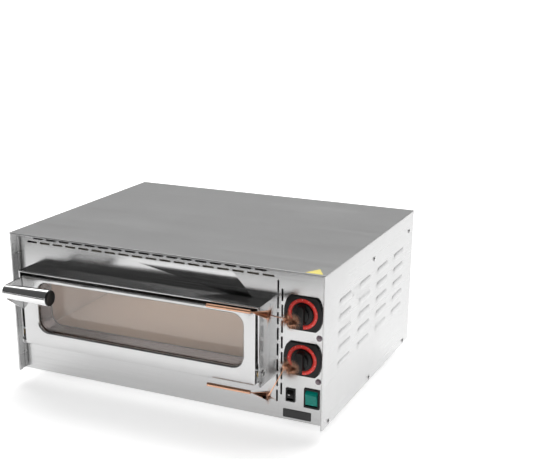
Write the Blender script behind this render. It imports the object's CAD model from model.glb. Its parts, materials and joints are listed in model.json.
import json
from math import cos, pi, radians, sin

import bmesh
import bpy
from mathutils import Matrix, Vector


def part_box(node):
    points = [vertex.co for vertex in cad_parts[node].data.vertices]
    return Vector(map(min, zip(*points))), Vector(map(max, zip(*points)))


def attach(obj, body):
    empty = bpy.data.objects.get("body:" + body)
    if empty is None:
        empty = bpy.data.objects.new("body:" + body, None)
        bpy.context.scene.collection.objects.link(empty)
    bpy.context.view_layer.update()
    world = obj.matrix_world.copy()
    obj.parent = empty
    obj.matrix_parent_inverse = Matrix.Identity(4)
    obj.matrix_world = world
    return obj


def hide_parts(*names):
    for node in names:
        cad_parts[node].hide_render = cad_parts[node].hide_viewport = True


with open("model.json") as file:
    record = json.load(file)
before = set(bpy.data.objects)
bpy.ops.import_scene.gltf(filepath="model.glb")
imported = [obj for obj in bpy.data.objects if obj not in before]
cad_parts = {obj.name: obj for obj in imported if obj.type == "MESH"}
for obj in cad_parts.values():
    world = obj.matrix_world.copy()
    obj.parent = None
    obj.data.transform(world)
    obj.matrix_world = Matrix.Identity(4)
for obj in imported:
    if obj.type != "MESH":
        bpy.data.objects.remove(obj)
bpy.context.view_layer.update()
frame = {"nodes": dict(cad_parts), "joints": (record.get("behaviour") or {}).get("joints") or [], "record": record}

MM = 0.001
BODY_OF = {
    node: body
    for body, nodes in frame["record"]["behaviour"]["bodies"].items()
    for node in nodes
}
SLOT_OF = {s["node"]: s["material_slot"] for s in frame["record"]["subparts"]}
JOINT = {joint["name"]: joint for joint in frame["joints"]}


# ---------------------------------------------------------------- node trees


class Tree:
    """A node tree that is filled by short calls. A value is a number, a colour or a socket."""

    def __init__(self, tree):
        self.tree = tree

    def add(self, kind, inputs=None, **settings):
        node = self.tree.nodes.new(kind)
        for key, value in settings.items():
            setattr(node, key, value)
        for key, value in (inputs or {}).items():
            self.put(node.inputs[key], value)
        return node

    def put(self, socket, value):
        if isinstance(value, bpy.types.NodeSocket):
            self.tree.links.new(value, socket)
        else:
            socket.default_value = value

    def math(self, operation, a, b=0.0, clamp=False):
        node = self.add("ShaderNodeMath", {0: a, 1: b}, operation=operation, use_clamp=clamp)
        return node.outputs[0]

    def span(self, value, low, high, to_low, to_high):
        """value's stretch from low to high, moved to to_low and to_high."""
        node = self.add("ShaderNodeMapRange", {
            "Value": value, "From Min": low, "From Max": high, "To Min": to_low, "To Max": to_high})
        return node.outputs["Result"]

    def blend(self, factor, a, b):
        node = self.add("ShaderNodeMix", data_type="RGBA")
        self.put(node.inputs[0], factor)
        self.put(node.inputs[6], a)
        self.put(node.inputs[7], b)
        return node.outputs[2]

    def noise(self, vector, scale, detail=3.0, roughness=0.5):
        node = self.add("ShaderNodeTexNoise", {
            "Vector": vector, "Scale": scale, "Detail": detail, "Roughness": roughness})
        return node.outputs["Fac"]


def new_group(name, inputs, outputs):
    """An empty shader node group; returns it with its Tree, its input sockets and its end node."""
    group = bpy.data.node_groups.new(name, "ShaderNodeTree")
    for label, kind in inputs.items():
        group.interface.new_socket(name=label, in_out="INPUT", socket_type=kind)
    for label, kind in outputs.items():
        group.interface.new_socket(name=label, in_out="OUTPUT", socket_type=kind)
    tree = Tree(group)
    start = tree.add("NodeGroupInput")
    end = tree.add("NodeGroupOutput")
    return group, tree, start.outputs, end


FLOAT = "NodeSocketFloat"
VECTOR = "NodeSocketVector"
COLOUR = "NodeSocketColor"


def make_brushed_grain():
    """Fine scratches along X: long, thin streaks of height, and the same streaks as a mask."""
    group, tree, given, end = new_group(
        "brushed_grain",
        {"Vector": VECTOR, "Along": FLOAT, "Across": FLOAT},
        {"Height": FLOAT, "Mask": FLOAT})
    stretch = tree.add("ShaderNodeCombineXYZ", {
        0: given["Along"], 1: given["Across"], 2: given["Across"]})
    place = tree.add("ShaderNodeVectorMath", {0: given["Vector"], 1: stretch.outputs[0]},
                     operation="MULTIPLY")
    fine = tree.noise(place.outputs[0], 1.0, 4.0, 0.6)
    coarse = tree.noise(place.outputs[0], 0.23, 2.0, 0.5)
    both = tree.math("ADD", tree.math("MULTIPLY", fine, 0.6), tree.math("MULTIPLY", coarse, 0.4))
    tree.put(end.inputs["Height"], both)
    tree.put(end.inputs["Mask"], tree.span(both, 0.35, 0.65, 0.0, 1.0))
    return group


def make_handling_marks():
    """Soft cloudy patches such as wiping and hands leave, from 0 to Amount."""
    group, tree, given, end = new_group(
        "handling_marks",
        {"Vector": VECTOR, "Scale": FLOAT, "Amount": FLOAT},
        {"Mask": FLOAT})
    cloud = tree.noise(given["Vector"], given["Scale"], 4.0, 0.55)
    small = tree.noise(given["Vector"], tree.math("MULTIPLY", given["Scale"], 7.0), 3.0, 0.6)
    patch = tree.span(cloud, 0.42, 0.70, 0.0, 1.0)
    broken = tree.span(small, 0.30, 0.65, 0.55, 1.0)
    mask = tree.math("MULTIPLY", tree.math("MULTIPLY", patch, broken), given["Amount"])
    tree.put(end.inputs["Mask"], mask)
    return group


def make_moulded_grain():
    """The even pebbled texture of a moulded or cast surface."""
    group, tree, given, end = new_group(
        "moulded_grain",
        {"Vector": VECTOR, "Scale": FLOAT},
        {"Height": FLOAT, "Mask": FLOAT})
    cells = tree.add("ShaderNodeTexVoronoi", {"Vector": given["Vector"], "Scale": given["Scale"]})
    fine = tree.noise(given["Vector"], tree.math("MULTIPLY", given["Scale"], 2.7), 3.0, 0.6)
    height = tree.math("ADD", tree.math("MULTIPLY", cells.outputs["Distance"], 0.6),
                       tree.math("MULTIPLY", fine, 0.5))
    tree.put(end.inputs["Height"], height)
    tree.put(end.inputs["Mask"], tree.span(height, 0.3, 0.7, 0.0, 1.0))
    return group


def make_baked_stain():
    """Heat and baking stain that gathers in drifts; a colour between Clean and Stained."""
    group, tree, given, end = new_group(
        "baked_stain",
        {"Vector": VECTOR, "Scale": FLOAT, "Clean": COLOUR, "Stained": COLOUR, "Cover": FLOAT},
        {"Color": COLOUR, "Mask": FLOAT})
    drift = tree.noise(given["Vector"], given["Scale"], 5.0, 0.6)
    low = tree.math("SUBTRACT", 0.75, given["Cover"])
    mask = tree.add("ShaderNodeMapRange", {
        "Value": drift, "From Min": low, "From Max": 0.85}, clamp=True).outputs["Result"]
    tree.put(end.inputs["Color"], tree.blend(mask, given["Clean"], given["Stained"]))
    tree.put(end.inputs["Mask"], mask)
    return group


GRAIN = make_brushed_grain()
MARKS = make_handling_marks()
PEBBLE = make_moulded_grain()
STAIN = make_baked_stain()


# ---------------------------------------------------------------- materials


def shade(level):
    """A neutral colour of that brightness."""
    return (level, level, level, 1.0)


def tinted(colour, share):
    """A colour made lighter or darker by a share."""
    return tuple(min(1.0, c * share) for c in colour[:3]) + (1.0,)


class Material:
    """A material with one Principled shader whose constant values are set on its own sockets."""

    def __init__(self, name, **constants):
        self.material = bpy.data.materials.new(name)
        self.material.use_nodes = True
        self.tree = Tree(self.material.node_tree)
        self.shader = self.material.node_tree.nodes["Principled BSDF"]
        for key, value in constants.items():
            self.shader.inputs[key.replace("_", " ")].default_value = value
        self.place = self.tree.add("ShaderNodeTexCoord").outputs["Object"]

    def turned(self, rotation):
        node = self.tree.add("ShaderNodeMapping", {"Vector": self.place})
        node.inputs["Rotation"].default_value = rotation
        return node.outputs[0]

    def group(self, group, **values):
        node = self.tree.add("ShaderNodeGroup", node_tree=group)
        for key, value in values.items():
            self.tree.put(node.inputs[key], value)
        return node.outputs

    def link(self, socket, value):
        self.tree.put(self.shader.inputs[socket], value)

    def bump(self, height, strength, distance):
        node = self.tree.add("ShaderNodeBump", {
            "Height": height, "Strength": strength, "Distance": distance})
        self.link("Normal", node.outputs[0])


ALONG_X = (0.0, 0.0, 0.0)
ALONG_Y = (0.0, 0.0, radians(90))
ALONG_Z = (0.0, radians(90), 0.0)


def sheet_metal(name, colour, rough, rough_spread, direction, bump, marks):
    """Rolled or brushed sheet: streaks in one direction, cloudy patches where it is handled."""
    along, across, tone = 9.0, 1400.0, 0.05
    made = Material(name, Metallic=1.0)
    grain = made.group(GRAIN, Vector=made.turned(direction), Along=along, Across=across)
    cloud = made.group(MARKS, Vector=made.place, Scale=6.0, Amount=marks)
    tree = made.tree
    streaked = tree.span(grain["Mask"], 0.0, 1.0, rough - rough_spread, rough + rough_spread)
    wiped = tree.math("MULTIPLY", cloud["Mask"], 0.08)
    made.link("Roughness", tree.math("ADD", streaked, wiped, True))
    lit = tree.blend(grain["Mask"], tinted(colour, 1.0 - tone), tinted(colour, 1.0 + tone))
    made.link("Base Color", tree.blend(cloud["Mask"], lit, tinted(colour, 0.93)))
    made.bump(grain["Height"], bump, 0.0004)
    return made.material


def turned_metal(name, colour, rough, marks=0.4, bump=0.03):
    """Small turned, drawn or plated metal parts."""
    made = Material(name, Metallic=1.0)
    tree = made.tree
    pebble = made.group(PEBBLE, Vector=made.place, Scale=900.0)
    cloud = made.group(MARKS, Vector=made.place, Scale=40.0, Amount=marks)
    even = tree.span(pebble["Mask"], 0.0, 1.0, rough * 0.8, rough * 1.2)
    dulled = tree.math("MULTIPLY", cloud["Mask"], 0.12)
    made.link("Roughness", tree.math("ADD", even, dulled, True))
    made.link("Base Color", tree.blend(cloud["Mask"], colour, tinted(colour, 0.82)))
    made.bump(pebble["Height"], bump, 0.0002)
    return made.material


def moulded(name, colour, rough, scale=1500.0, bump=0.12, coat=0.0, marks=0.5, shine=0.5):
    """Moulded plastic or rubber with its fine pebbled skin and a little handling shine."""
    made = Material(name, Coat_Weight=coat, Coat_Roughness=0.08, Specular_IOR_Level=shine)
    tree = made.tree
    pebble = made.group(PEBBLE, Vector=made.place, Scale=scale)
    cloud = made.group(MARKS, Vector=made.place, Scale=30.0, Amount=marks)
    even = tree.span(pebble["Mask"], 0.0, 1.0, rough, rough + 0.1)
    polished = tree.math("MULTIPLY", cloud["Mask"], 0.1)
    made.link("Roughness", tree.math("SUBTRACT", even, polished, True))
    made.link("Base Color", tree.blend(cloud["Mask"], colour, tinted(colour, 1.35)))
    made.bump(pebble["Height"], bump, 0.0002)
    return made.material


def make_stone():
    """Fireclay: a warm, open-grained face with dark specks and browner drifts."""
    made = Material("refractory_stone")
    tree = made.tree
    pebble = made.group(PEBBLE, Vector=made.place, Scale=520.0)
    stain = made.group(STAIN, Vector=made.place, Scale=9.0, Clean=(0.66, 0.51, 0.39, 1.0),
                       Stained=(0.50, 0.37, 0.27, 1.0), Cover=0.18)
    speck = tree.noise(made.place, 800.0, 2.0, 0.5)
    dots = tree.span(speck, 0.60, 0.68, 0.0, 0.5)
    made.link("Base Color", tree.blend(dots, stain["Color"], (0.34, 0.25, 0.19, 1.0)))
    made.link("Roughness", tree.span(pebble["Mask"], 0.0, 1.0, 0.82, 0.96))
    made.bump(pebble["Height"], 0.35, 0.0004)
    return made.material


def make_wool():
    """Mineral wool: two layers of fibres that cross."""
    made = Material("mineral_wool", Roughness=0.95, Sheen_Weight=0.3)
    tree = made.tree
    fibre = made.group(GRAIN, Vector=made.turned(ALONG_X), Along=60.0, Across=900.0)
    crossed = made.group(GRAIN, Vector=made.turned((0.6, 0.3, 1.1)), Along=90.0, Across=800.0)
    height = tree.math("MAXIMUM", fibre["Height"], crossed["Height"])
    shadowed, lit = (0.16, 0.14, 0.11, 1.0), (0.26, 0.235, 0.19, 1.0)
    made.link("Base Color", tree.blend(fibre["Mask"], shadowed, lit))
    made.bump(height, 0.5, 0.001)
    return made.material


def make_chamber_steel():
    """Chamber sheet, straw-coloured from heat with browner drifts."""
    made = Material("heat_tinted_steel", Metallic=0.5)
    tree = made.tree
    grain = made.group(GRAIN, Vector=made.turned(ALONG_Y), Along=12.0, Across=1200.0)
    stain = made.group(STAIN, Vector=made.place, Scale=7.0, Clean=(0.74, 0.63, 0.53, 1.0),
                       Stained=(0.55, 0.42, 0.33, 1.0), Cover=0.22)
    made.link("Base Color", stain["Color"])
    made.link("Roughness", tree.span(grain["Mask"], 0.0, 1.0, 0.42, 0.55))
    made.bump(grain["Height"], 0.02, 0.0004)
    return made.material


def make_galvanised():
    """Zinc-coated sheet with its spangle."""
    made = Material("galvanised_sheet", Metallic=1.0)
    tree = made.tree
    spangle = tree.add("ShaderNodeTexVoronoi", {"Vector": made.place, "Scale": 95.0})
    level = tree.add("ShaderNodeSeparateColor", {0: spangle.outputs["Color"]}).outputs[0]
    made.link("Base Color", tree.blend(level, shade(0.48), shade(0.66)))
    made.link("Roughness", tree.span(level, 0.0, 1.0, 0.34, 0.5))
    made.bump(level, 0.05, 0.0002)
    return made.material


def make_element_sheath():
    """The dark, oxidised tube of a heating element."""
    made = Material("oxidised_sheath", Metallic=0.6)
    tree = made.tree
    pebble = made.group(PEBBLE, Vector=made.place, Scale=700.0)
    stain = made.group(STAIN, Vector=made.place, Scale=30.0, Clean=(0.13, 0.12, 0.12, 1.0),
                       Stained=(0.22, 0.16, 0.12, 1.0), Cover=0.25)
    made.link("Base Color", stain["Color"])
    made.link("Roughness", tree.span(pebble["Mask"], 0.0, 1.0, 0.5, 0.7))
    made.bump(pebble["Height"], 0.15, 0.0002)
    return made.material


def make_glass(name, colour, rough):
    """Clear glass with a trace of wiping marks."""
    made = Material(name, Base_Color=colour, Transmission_Weight=1.0, IOR=1.46)
    cloud = made.group(MARKS, Vector=made.place, Scale=9.0, Amount=1.0)
    made.link("Roughness", made.tree.span(cloud["Mask"], 0.0, 1.0, rough, rough + 0.04))
    return made.material


def make_lens(name, colour, rough, glow=0.0, coat=0.6):
    """A translucent plastic lens with ribs of its moulding just visible."""
    made = Material(name, Transmission_Weight=0.25, IOR=1.49, Coat_Weight=coat,
                    Coat_Roughness=0.05, Emission_Strength=glow, Specular_IOR_Level=0.25)
    tree = made.tree
    pebble = made.group(PEBBLE, Vector=made.place, Scale=600.0)
    tone = tree.blend(pebble["Mask"], tinted(colour, 0.88), tinted(colour, 1.1))
    made.link("Base Color", tone)
    made.link("Emission Color", tone)
    made.link("Roughness", tree.span(pebble["Mask"], 0.0, 1.0, rough, rough + 0.1))
    made.bump(pebble["Height"], 0.05, 0.0002)
    return made.material


def make_film(name, colour, rough):
    """Printed ink or film: an even colour, slightly mottled."""
    made = Material(name)
    tree = made.tree
    pebble = made.group(PEBBLE, Vector=made.place, Scale=1100.0)
    made.link("Base Color", tree.blend(pebble["Mask"], tinted(colour, 0.92), tinted(colour, 1.05)))
    made.link("Roughness", tree.span(pebble["Mask"], 0.0, 1.0, rough, rough + 0.12))
    return made.material


FINISH = {
    "steel_top": sheet_metal(
        "brushed_top_steel", shade(0.40), 0.36, 0.06, ALONG_X, 0.10, 0.4),
    "steel_side": sheet_metal(
        "brushed_side_steel", shade(0.55), 0.30, 0.05, ALONG_Y, 0.08, 0.4),
    "steel_polished": sheet_metal(
        "polished_steel", shade(0.54), 0.20, 0.04, ALONG_X, 0.04, 0.5),
    "steel_duct": sheet_metal(
        "darkened_steel", (0.26, 0.225, 0.225, 1.0), 0.22, 0.05, ALONG_X, 0.05, 0.5),
    "steel_rear": sheet_metal(
        "mill_finish_steel", shade(0.62), 0.34, 0.06, ALONG_Z, 0.10, 0.6),
    "steel_chamber": make_chamber_steel(),
    "galvanised": make_galvanised(),
    "fastener": turned_metal("zinc_plated_steel", shade(0.62), 0.26),
    "chrome": turned_metal("polished_chrome", shade(0.72), 0.05, marks=0.25, bump=0.004),
    "brass": turned_metal("turned_brass", (0.78, 0.58, 0.28, 1.0), 0.28),
    "copper": turned_metal("drawn_copper", (0.80, 0.45, 0.30, 1.0), 0.3),
    "rubber": moulded("black_rubber", shade(0.028), 0.62, 1100.0, 0.25),
    "black_plastic": moulded(
        "black_satin_plastic", shade(0.008), 0.36, 1600.0, 0.08, 0.03, 0.5, 0.25),
    "black_gloss": moulded(
        "black_gloss_plastic", shade(0.006), 0.26, 1600.0, 0.05, 0.05, 0.5, 0.22),
    "green_plastic": make_lens("green_lens", (0.0, 0.20, 0.16, 1.0), 0.25, 0.2, 0.1),
    "lens": make_lens("pilot_lens", (0.30, 0.23, 0.26, 1.0), 0.18),
    "marker": make_film("yellow_film", (0.93, 0.80, 0.20, 1.0), 0.35),
    "badge": make_film("dark_plate", shade(0.02), 0.3),
    "door_glass": make_glass("door_glass", (0.98, 0.97, 0.96, 1.0), 0.0),
    "lamp_glass": make_glass("lamp_glass", (0.97, 0.94, 0.88, 1.0), 0.25),
    "stone": make_stone(),
    "insulation": make_wool(),
    "element": make_element_sheath(),
    "ceramic": moulded("glazed_ceramic", (0.78, 0.74, 0.66, 1.0), 0.22, 500.0, 0.05, 0.4),
    "thermostat_body": moulded("grey_bakelite", shade(0.16), 0.4),
}
RED_INK = make_film("red_dial_ink", (0.74, 0.045, 0.035, 1.0), 0.35)
WHITE_INK = make_film("white_ink", shade(0.75), 0.4)


# ---------------------------------------------------------------- mesh helpers


def to_object(bm, name, material, body):
    """The finished mesh as a piece at the origin that rides on its body."""
    mesh = bpy.data.meshes.new(name)
    bm.to_mesh(mesh)
    bm.free()
    mesh.materials.append(material)
    mesh.shade_smooth()
    mesh.set_sharp_from_angle(angle=radians(35.0))
    piece = bpy.data.objects.new(name, mesh)
    bpy.context.scene.collection.objects.link(piece)
    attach(piece, body)
    return piece


def bevel(bm, geometry, width, segments, affect="EDGES"):
    """Rounds the edges or vertices; returns what the operator made."""
    return bmesh.ops.bevel(bm, geom=geometry, offset=width, offset_type="OFFSET",
                           segments=segments, profile=0.5, affect=affect, clamp_overlap=False,
                           material=-1)


def walled(piece, name, thickness, offset):
    """Gives an open shell its thickness: inwards at an offset of -1, outwards at 1."""
    wall = piece.modifiers.new(name, "SOLIDIFY")
    wall.thickness = thickness
    wall.offset = offset


MERGE = 0.005 * MM              # corners of the CAD triangles closer than this are one corner
IN_PLANE = radians(0.6)         # triangles that meet at less than this are one flat face
FLAT_AREA = 2500 * MM * MM      # a face this large is a flat sheet, whose shading stays flat
CREASE = radians(1)             # the least fold beside a flat sheet that shows as an edge
CORNER = radians(30)            # the least fold that is rounded


def softened(node, width, shortest):
    """Stands for a CAD node: the same shape with its long sharp edges rounded, as folded or
    moulded edges are. width, and shortest, the least length of a rounded edge, are in
    millimetres."""
    bm = bmesh.new()
    bm.from_mesh(frame["nodes"][node].data)
    bmesh.ops.remove_doubles(bm, verts=bm.verts, dist=MERGE)
    bmesh.ops.dissolve_limit(bm, angle_limit=IN_PLANE, verts=bm.verts, edges=bm.edges,
                             use_dissolve_boundaries=False, delimit={"NORMAL"})
    slot = SLOT_OF[node]
    piece = to_object(bm, node + "_finished", FINISH[slot], BODY_OF[node])
    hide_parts(node)
    weights = piece.data.attributes.new("bevel_weight_edge", "FLOAT", "EDGE")
    creases = piece.data.attributes["sharp_edge"]
    bm = bmesh.new()
    bm.from_mesh(piece.data)
    for edge in bm.edges:
        angle = edge.calc_face_angle(0.0)
        rounded = edge.is_manifold and angle > CORNER
        weights.data[edge.index].value = float(rounded and edge.calc_length() >= shortest * MM)
        beside_flat = max(face.calc_area() for face in edge.link_faces) > FLAT_AREA
        if beside_flat and angle > CREASE:
            creases.data[edge.index].value = True
    bm.free()
    if width:
        rounding = piece.modifiers.new("rounded_edges", "BEVEL")
        rounding.limit_method = "WEIGHT"
        rounding.width = width * MM
        rounding.segments = 2
        rounding.harden_normals = True
        rounding.use_clamp_overlap = False


def turned_along(bm, profile, start, axis, steps):
    """A lathe shape: profile holds (distance along the axis, radius) in metres."""
    axis = Vector(axis).normalized()
    side = axis.orthogonal().normalized()
    start = Vector(start)
    first = len(bm.verts)
    rail = [bm.verts.new(start + axis * along + side * radius) for along, radius in profile]
    edges = [bm.edges.new(pair) for pair in zip(rail, rail[1:])]
    bmesh.ops.spin(bm, geom=rail + edges, cent=start, axis=axis, dvec=(0, 0, 0), angle=2 * pi,
                   steps=steps, use_merge=True, use_duplicate=False)
    bm.verts.ensure_lookup_table()
    made = bm.verts[first:]
    bmesh.ops.remove_doubles(bm, verts=made, dist=0.002 * MM)
    bmesh.ops.recalc_face_normals(bm, faces=bm.faces)


def arc(centre, radius, first, last, count=6):
    """Points (along, across) on an arc; the angles are in degrees."""
    return [
        (centre[0] + radius * cos(radians(first + (last - first) * i / count)),
         centre[1] + radius * sin(radians(first + (last - first) * i / count)))
        for i in range(count + 1)
    ]


def flat_patch(bm, place, width, depth):
    """A rectangle in the XY plane of place; returns its vertices."""
    matrix = place @ Matrix.Diagonal((width, depth, 1.0, 1.0))
    return bmesh.ops.create_grid(bm, x_segments=1, y_segments=1, size=0.5, matrix=matrix)["verts"]


def upright_patch(bm, place, width, height):
    """A rectangle in the XZ plane of place; returns its vertices."""
    return flat_patch(bm, place @ Matrix.Rotation(radians(90), 4, "X"), width, height)


def rounded_face(bm, low, high, radius, y):
    """A flat rectangle in X and Z with round corners; low and high are (x, z). Returns its face."""
    middle = ((low[0] + high[0]) / 2, y, (low[1] + high[1]) / 2)
    corners = upright_patch(bm, Matrix.Translation(middle), high[0] - low[0], high[1] - low[1])
    rim = bevel(bm, corners, radius, 8, "VERTICES")
    return next(face for vert in rim["verts"] for face in vert.link_faces)


def face_front(bm):
    """Turns every flat face towards -Y."""
    bm.normal_update()
    bmesh.ops.reverse_faces(bm, faces=[f for f in bm.faces if f.normal.y > 0])


# ---------------------------------------------------------------- plain sheets and small parts

# width of the rounded edges, and the shortest edge that gets one, in millimetres
ROUNDED = {
    "top_cover": (0.5, 5.0), "side_left": (0.4, 100.0), "side_right": (0.4, 100.0),
    "front_panel": (0.3, 100.0), "back_panel": (0.4, 100.0), "base_pan": (0.5, 100.0),
    "feet": (0.8, 0.0), "foot_bolts": (0.3, 2.0), "top_marker": (0.0, 0.0),
    "badge_plate": (0.25, 0.0), "door_hood": (0.35, 3.0), "hinge_pins": (0.3, 0.0),
    "stop_studs": (0.3, 0.0), "door_liner": (0.3, 4.0), "window_duct": (0.2, 4.0),
    "outer_glass": (0.4, 0.0), "inner_glass": (0.4, 0.0), "glass_clips": (0.2, 1.0),
    "door_insulation": (0.8, 4.0), "hinge_bushes": (0.2, 0.0), "door_studs": (0.3, 0.0),
    "handle_bracket": (0.5, 0.0), "chamber_floor": (0.2, 5.0), "chamber_roof": (0.2, 5.0),
    "chamber_left": (0.2, 5.0), "chamber_right": (0.2, 5.0), "chamber_back": (0.2, 5.0),
    "stone_deck": (1.5, 0.0), "deck_rails": (0.3, 3.0), "lower_element": (0.0, 0.0),
    "upper_element": (0.0, 0.0), "chamber_lamp": (0.6, 0.0), "sensor_bulbs": (0.5, 0.0),
    "insulation_top": (3.0, 20.0), "insulation_base": (3.0, 20.0), "insulation_wrap": (2.0, 20.0),
    "bulkhead": (0.3, 5.0), "shaft_top": (0.4, 0.0), "shaft_bottom": (0.4, 0.0),
    "thermostats": (1.0, 2.0), "light_switch_frame": (0.4, 2.0), "main_switch_frame": (0.5, 2.0),
    "terminal_block": (0.5, 2.0), "cable_gland": (0.6, 0.0), "bracket_screws": (0.3, 0.0),
    "handle_bolt": (0.3, 0.0), "dial_plates": (0.8, 0.0), "light_switch_rocker": (0.5, 2.0),
    "main_switch_rocker": (0.6, 2.0), "casing_screws": (0.4, 0.0),
}
for node, (width, shortest) in ROUNDED.items():
    softened(node, width, shortest)


# ---------------------------------------------------------------- door


def extend(bm, edges, step):
    """Adds a wall that runs from these edges along step."""
    made = bmesh.ops.extrude_edge_only(bm, edges=edges)["geom"]
    bmesh.ops.translate(bm, verts=[g for g in made if isinstance(g, bmesh.types.BMVert)], vec=step)


def make_door_skin():
    """The door's outer pan: its window edge and its outer edge roll inwards."""
    sheet, duct_wall, glass_gap = 1.2 * MM, 1.0 * MM, 0.3 * MM
    corner, window_corner = 2.5 * MM, 19.0 * MM
    edge_roll, window_roll = 1.6 * MM, 3.0 * MM
    low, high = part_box("door_skin")
    duct_low, duct_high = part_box("window_duct")
    window_low = (duct_low.x + duct_wall, duct_low.z + duct_wall)
    window_high = (duct_high.x - duct_wall, duct_high.z - duct_wall)
    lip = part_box("outer_glass")[0].y - low.y - glass_gap
    bm = bmesh.new()
    outer = rounded_face(bm, (low.x, low.z), (high.x, high.z), corner, low.y)
    inner = rounded_face(bm, window_low, window_high, window_corner, low.y)
    outer_rim, inner_rim = list(outer.edges), list(inner.edges)
    bmesh.ops.delete(bm, geom=[outer, inner], context="FACES_ONLY")
    bmesh.ops.bridge_loops(bm, edges=outer_rim + inner_rim)
    extend(bm, outer_rim, (0, high.y - low.y, 0))
    extend(bm, inner_rim, (0, lip, 0))
    bmesh.ops.recalc_face_normals(bm, faces=bm.faces)
    bevel(bm, inner_rim, window_roll, 5)
    bevel(bm, outer_rim, edge_roll, 3)
    skin = to_object(bm, "door_skin_pressed", FINISH["steel_polished"], "door")
    walled(skin, "sheet_thickness", sheet, -1.0)
    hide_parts("door_skin")


HANDLE_STEPS = 96


def make_handle_grip():
    """The tapered tube, crowned at its root and bored for the cap at its free end; returns the
    middle of its root."""
    low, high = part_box("handle_grip")
    start = (low.x, (low.y + high.y) / 2, (low.z + high.z) / 2)
    root, end, length = 11.3 * MM, (high.z - low.z) / 2, high.x - low.x
    dome, edge = 1.6 * MM, 0.7 * MM
    wall, bore_depth = 2.9 * MM, 9.0 * MM
    bm = bmesh.new()
    profile = [(0.0, 0.0), (0.15 * MM, 4.0 * MM), (0.5 * MM, root - dome - 0.6 * MM)]
    profile += arc((dome + 0.4 * MM, root - dome), dome, 180, 90, 5)[1:]
    profile += arc((length - edge, end - edge), edge, 90, 0, 4)
    profile += [(length, end - wall), (length - bore_depth, end - wall), (length - bore_depth, 0.0)]
    turned_along(bm, profile, start, (1, 0, 0), HANDLE_STEPS)
    grip = to_object(bm, "handle_grip_tube", FINISH["chrome"], "door")
    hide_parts("handle_grip")
    return start


def make_handle_cap(grip_root):
    """The plastic cap that is set into the grip's free end, its face slightly dished."""
    cap_low, cap_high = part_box("handle_cap")
    start = (cap_low.x, grip_root[1], grip_root[2])
    length, radius = cap_high.x - cap_low.x, (cap_high.z - cap_low.z) / 2
    flange, edge, shoulder = 2.5 * MM, 1.1 * MM, 2.3 * MM
    rim, dish, slope = 3.4 * MM, 0.4 * MM, 0.6 * MM
    bm = bmesh.new()
    profile = [(0.0, 0.0), (0.0, radius - shoulder), (length - flange, radius - shoulder),
               (length - flange, radius - 0.3 * MM)]
    profile += arc((length - edge, radius - edge - 0.2 * MM), edge, 90, 0, 5)
    profile += [(length, radius - rim), (length - dish, radius - rim - slope), (length - dish, 0.0)]
    turned_along(bm, profile, start, (1, 0, 0), HANDLE_STEPS)
    cap = to_object(bm, "handle_end_cap", FINISH["black_plastic"], "door")
    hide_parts("handle_cap")


make_door_skin()
make_handle_cap(make_handle_grip())


# ---------------------------------------------------------------- controls


def make_knob(node, body):
    """A thermostat knob: a thin round skirt and a tapered grip bar with soft edges."""
    low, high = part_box(node)
    middle = Vector(((low.x + high.x) / 2, high.y, (low.z + high.z) / 2))
    radius, height = (high.x - low.x) / 2, high.y - low.y
    shaft, skirt, boss = 3.2 * MM, 2.6 * MM, 11.5 * MM
    edge, fillet, boss_rise = 0.8 * MM, 1.4 * MM, 3.4 * MM
    bm = bmesh.new()
    profile = [(0.0, shaft), (0.0, radius - 0.3 * MM), (0.4 * MM, radius)]
    profile += arc((skirt - edge, radius - edge), edge, 90, 0, 4)
    profile += arc((skirt + fillet, boss + fillet), fillet, 180, 270, 5)
    profile += arc((skirt + boss_rise, boss - edge), edge, 90, 0, 3)
    profile += [(skirt + boss_rise + edge, 0.0)]
    turned_along(bm, profile, middle, (0, -1, 0), 72)

    bar_width, bar_length, sunk = 14.0 * MM, 33.0 * MM, 1.0 * MM
    narrowing, shortening = 0.84, 0.95
    size = Vector((bar_width, height - sunk, bar_length))
    centre = middle - Vector((0, sunk + size.y / 2, 0))
    made = bmesh.ops.create_cube(bm, size=1.0, matrix=Matrix.Translation(centre)
                                 @ Matrix.Diagonal((*size, 1.0)))
    for vert in made["verts"]:
        if vert.co.y < centre.y:
            vert.co.x = middle.x + (vert.co.x - middle.x) * narrowing
            vert.co.z = middle.z + (vert.co.z - middle.z) * shortening
    bar = {e for v in made["verts"] for e in v.link_edges}
    upright = [e for e in bar if abs(e.verts[0].co.y - e.verts[1].co.y) > size.y / 2]
    bevel(bm, upright, 4.6 * MM, 6)
    rim = [e for e in bm.edges if all(abs(v.co.y - low.y) < 0.01 * MM for v in e.verts)]
    bevel(bm, rim, 1.3 * MM, 4)
    knob = to_object(bm, node + "_moulded", FINISH["black_plastic"], body)
    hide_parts(node)


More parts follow.
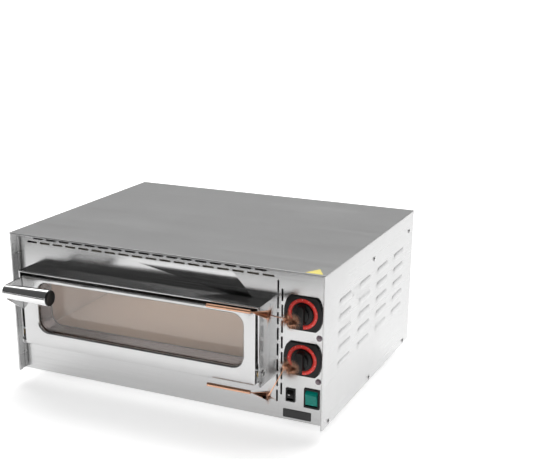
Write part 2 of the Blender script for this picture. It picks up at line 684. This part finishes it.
def make_dial_print(name, knob):
    """The printed ring on a dial plate, and its pale scale marks."""
    low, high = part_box(knob)
    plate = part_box("dial_plates")[0].y
    middle = Vector(((low.x + high.x) / 2, plate, (low.z + high.z) / 2))
    inner, outer, ink = 18.2 * MM, 24.2 * MM, 0.18 * MM
    marks_at, mark_length, mark_width, mark_ink = 22.6 * MM, 1.8 * MM, 0.45 * MM, 0.04 * MM
    start, sweep, count = radians(217), radians(305), 11
    along = Vector((cos(start), 0, sin(start)))
    bm = bmesh.new()
    ends = [bm.verts.new(middle + along * inner), bm.verts.new(middle + along * outer)]
    edge = bm.edges.new(ends)
    bmesh.ops.spin(bm, geom=ends + [edge], cent=middle, axis=(0, 1, 0), dvec=(0, 0, 0),
                   angle=sweep, steps=96, use_merge=False, use_duplicate=False)
    face_front(bm)
    ring = to_object(bm, name + "_ring", RED_INK, "casing")
    walled(ring, "ink", ink, 1.0)
    bm = bmesh.new()
    for i in range(count):
        turn = start - sweep * (0.05 + 0.9 * i / (count - 1))
        place = (Matrix.Translation(middle + Vector((0, -ink - mark_ink, 0)))
                 @ Matrix.Rotation(-turn, 4, "Y") @ Matrix.Translation((marks_at, 0, 0)))
        upright_patch(bm, place, mark_length, mark_width)
    face_front(bm)
    marks = to_object(bm, name + "_marks", WHITE_INK, "casing")
    walled(marks, "ink", mark_ink, 1.0)


def make_pilot_lamps():
    """Two small lamps: a domed lens with moulded rings, its stem and the clip behind the panel."""
    low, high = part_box("pilot_lamps")
    radius, proud, clip_radius = 4.75 * MM, 3.0 * MM, 6.25 * MM
    stem, stem_length = radius - 1.0 * MM, 18.0 * MM
    clip_bore, clip_front, clip_back = 3.5 * MM, 1.2 * MM, 3.6 * MM
    x = (low.x + high.x) / 2
    panel = low.y + proud
    bm = bmesh.new()
    for z in (low.z + clip_radius, high.z - clip_radius):
        profile = [(0.0, 0.0), (0.0, radius)]
        profile += arc((0.5 * MM, radius - 0.4 * MM), 0.4 * MM, 90, 0, 3)
        for step in range(3):
            ring = radius - (0.9 + 1.0 * step) * MM
            rise = (1.1 + 0.75 * step) * MM
            profile += arc((rise, ring - 0.3 * MM), 0.35 * MM, 100, 10, 3)
        profile += [(proud - 0.05 * MM, 0.6 * MM), (proud, 0.0)]
        turned_along(bm, profile, (x, panel, z), (0, -1, 0), 40)
        profile = [(0.0, 0.0), (0.0, stem), (stem_length, stem), (stem_length, 0.0)]
        turned_along(bm, profile, (x, panel, z), (0, 1, 0), 32)
        rim = clip_radius - 0.05 * MM
        profile = [(clip_front, clip_bore), (clip_front, rim), (clip_back, rim),
                   (clip_back, clip_bore)]
        turned_along(bm, profile, (x, panel, z), (0, 1, 0), 32)
    lamps = to_object(bm, "pilot_lamp_lenses", FINISH["lens"], "casing")
    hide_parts("pilot_lamps")


def make_switch_mark():
    """A small pale bar printed on the light switch's rocker."""
    width, height, ink = 3.0 * MM, 1.3 * MM, 0.12 * MM
    from_axle = (-1.6 * MM, -8.75 * MM, 2.2 * MM)
    tilt = radians(8)
    axle = Vector(JOINT["light_switch_rock"]["pos_m"])
    rocker = Matrix.Translation(axle) @ Matrix.Rotation(tilt, 4, "X")
    bm = bmesh.new()
    upright_patch(bm, rocker @ Matrix.Translation(from_axle), width, height)
    face_front(bm)
    mark = to_object(bm, "light_switch_mark", WHITE_INK, "light_rocker")
    walled(mark, "ink", ink, 1.0)


make_knob("knob_top", "upper_knob")
make_knob("knob_bottom", "lower_knob")
make_dial_print("upper_dial", "knob_top")
make_dial_print("lower_dial", "knob_bottom")
make_pilot_lamps()
make_switch_mark()


# ---------------------------------------------------------------- room, light and camera


def stage_object(bm, name, material):
    """The finished mesh as a part of the room."""
    mesh = bpy.data.meshes.new(name)
    bm.to_mesh(mesh)
    bm.free()
    mesh.materials.append(material)
    thing = bpy.data.objects.new(name, mesh)
    bpy.context.scene.collection.objects.link(thing)
    return thing


def make_floor():
    """A wide pale floor that gives a little light of its own."""
    bm = bmesh.new()
    bmesh.ops.create_circle(bm, cap_ends=True, radius=60.0, segments=64)
    paint = Material("pale_floor", Roughness=0.9, Specular_IOR_Level=0.0, Emission_Strength=0.55)
    paint.shader.inputs["Emission Color"].default_value = shade(1.0)
    cloud = paint.group(MARKS, Vector=paint.place, Scale=0.4, Amount=0.3)
    paint.link("Base Color", paint.tree.blend(cloud["Mask"], shade(0.90), shade(0.87)))
    floor = stage_object(bm, "floor", paint.material)


def make_dark_card():
    """A black card on the floor to the left of the camera; only reflections show it."""
    middle, width, depth = (-1.55, -2.05, 0.003), 3.1, 2.3
    bm = bmesh.new()
    flat_patch(bm, Matrix.Translation(middle), width, depth)
    card = stage_object(bm, "dark_card", make_film("black_card", shade(0.02), 0.9))
    card.visible_camera = False


def soft_light(name, place, target, width, depth, power, colour=(1, 1, 1)):
    """A rectangular lamp at place that shines towards target; its power is in watts."""
    light = bpy.data.lights.new(name, "AREA")
    light.shape = "RECTANGLE"
    light.size = width
    light.size_y = depth
    light.energy = power
    light.color = colour
    lamp = bpy.data.objects.new(name, light)
    lamp.location = place
    lamp.rotation_euler = (Vector(target) - Vector(place)).to_track_quat("-Z", "Y").to_euler()
    bpy.context.scene.collection.objects.link(lamp)
    return lamp


def make_surroundings():
    """A room that is dark in front of the oven and grey behind it, with a bright ceiling."""
    world = bpy.data.worlds.new("room")
    bpy.context.scene.world = world
    world.use_nodes = True
    tree = Tree(world.node_tree)
    towards = tree.add("ShaderNodeTexCoord").outputs["Generated"]
    axes = tree.add("ShaderNodeSeparateXYZ", {0: towards}).outputs
    behind = tree.span(axes[1], -0.25, 0.55, 0.0, 1.0)
    walls = tree.blend(behind, shade(0.10), shade(0.33))
    above = tree.span(axes[2], 0.50, 0.72, 0.0, 1.0)
    past = tree.span(axes[1], 0.12, 0.34, 0.0, 1.0)
    whole = tree.blend(tree.math("MULTIPLY", above, past), walls, shade(3.4))
    seen = tree.add("ShaderNodeLightPath").outputs["Is Camera Ray"]
    background = world.node_tree.nodes["Background"]
    tree.put(background.inputs["Color"], tree.blend(seen, whole, shade(1.0)))


def make_camera():
    """The camera stands in front on the right and looks down on the oven."""
    camera = bpy.data.objects.new("camera", bpy.data.cameras.new("camera"))
    camera.data.lens = 68.67
    camera.data.sensor_width = 36.0
    camera.data.shift_x = 0.0556
    camera.data.shift_y = 0.112
    camera.data.clip_end = 200.0
    camera.location = (0.79075, -1.52696, 0.72154)
    azimuth, down = radians(25.556), radians(18.150)
    looks = Vector((-sin(azimuth) * cos(down), cos(azimuth) * cos(down), -sin(down)))
    camera.rotation_euler = looks.to_track_quat("-Z", "Y").to_euler()
    bpy.context.scene.collection.objects.link(camera)
    bpy.context.scene.camera = camera


def make_room_lights():
    """A soft ceiling lamp, and a lamp in front that shows in no reflection."""
    soft_light("ceiling_softbox", (0.0, 0.6, 3.2), (0.0, 0.0, 0.0), 2.5, 2.0, 12.0)
    fill = soft_light("front_fill", (0.6, -2.2, 1.6), (0.0, -0.2, 0.1), 1.4, 1.0, 14.0)
    fill.visible_glossy = False


def make_chamber_light():
    """The warm light under the chamber's roof that shows the stone through the window."""
    chamber_low, chamber_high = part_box("chamber_roof")
    middle = (chamber_low + chamber_high) / 2
    under_roof = 0.022
    glow = soft_light("chamber_light", (middle.x, middle.y, chamber_low.z - under_roof),
                      (middle.x, middle.y, 0.0), 0.36, 0.30, 0.145, (1.0, 0.98, 0.96))
    glow.visible_camera = False
    glow.visible_glossy = False


make_floor()
make_dark_card()
make_surroundings()
make_room_lights()
make_camera()
make_chamber_light()
bpy.context.scene.view_settings.view_transform = "Standard"
